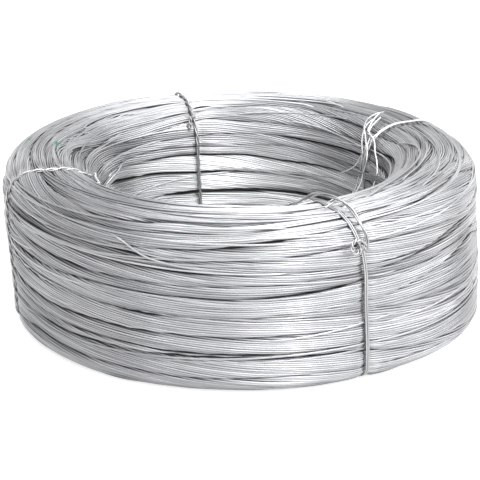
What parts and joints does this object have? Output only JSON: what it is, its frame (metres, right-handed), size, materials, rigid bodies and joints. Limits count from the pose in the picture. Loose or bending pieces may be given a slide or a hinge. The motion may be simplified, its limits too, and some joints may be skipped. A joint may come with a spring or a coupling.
{
  "type": "coil of galvanized wire",
  "caption": "Coil of galvanized steel wire lying flat: a thick wound ring with an open eye, bound by doubled and twisted wire ties with loose ends.",
  "frame": {"origin": "middle of the coil's bottom, on the surface that it lies on", "axes": "+Z along the coil's axis, upwards as it lies; +X to the right and +Y away, seen from its front"},
  "size_m": [0.342, 0.342, 0.1237],
  "materials": {
    "coil_wire": "satin galvanized",
    "tie_wire": "satin galvanized, a little duller"
  },
  "bodies": {
    "root": {"coil": "coil_wire", "tie_front": "tie_wire", "tie_left": "tie_wire", "tie_back": "tie_wire", "tie_right": "tie_wire"}
  },
  "joints": []
}
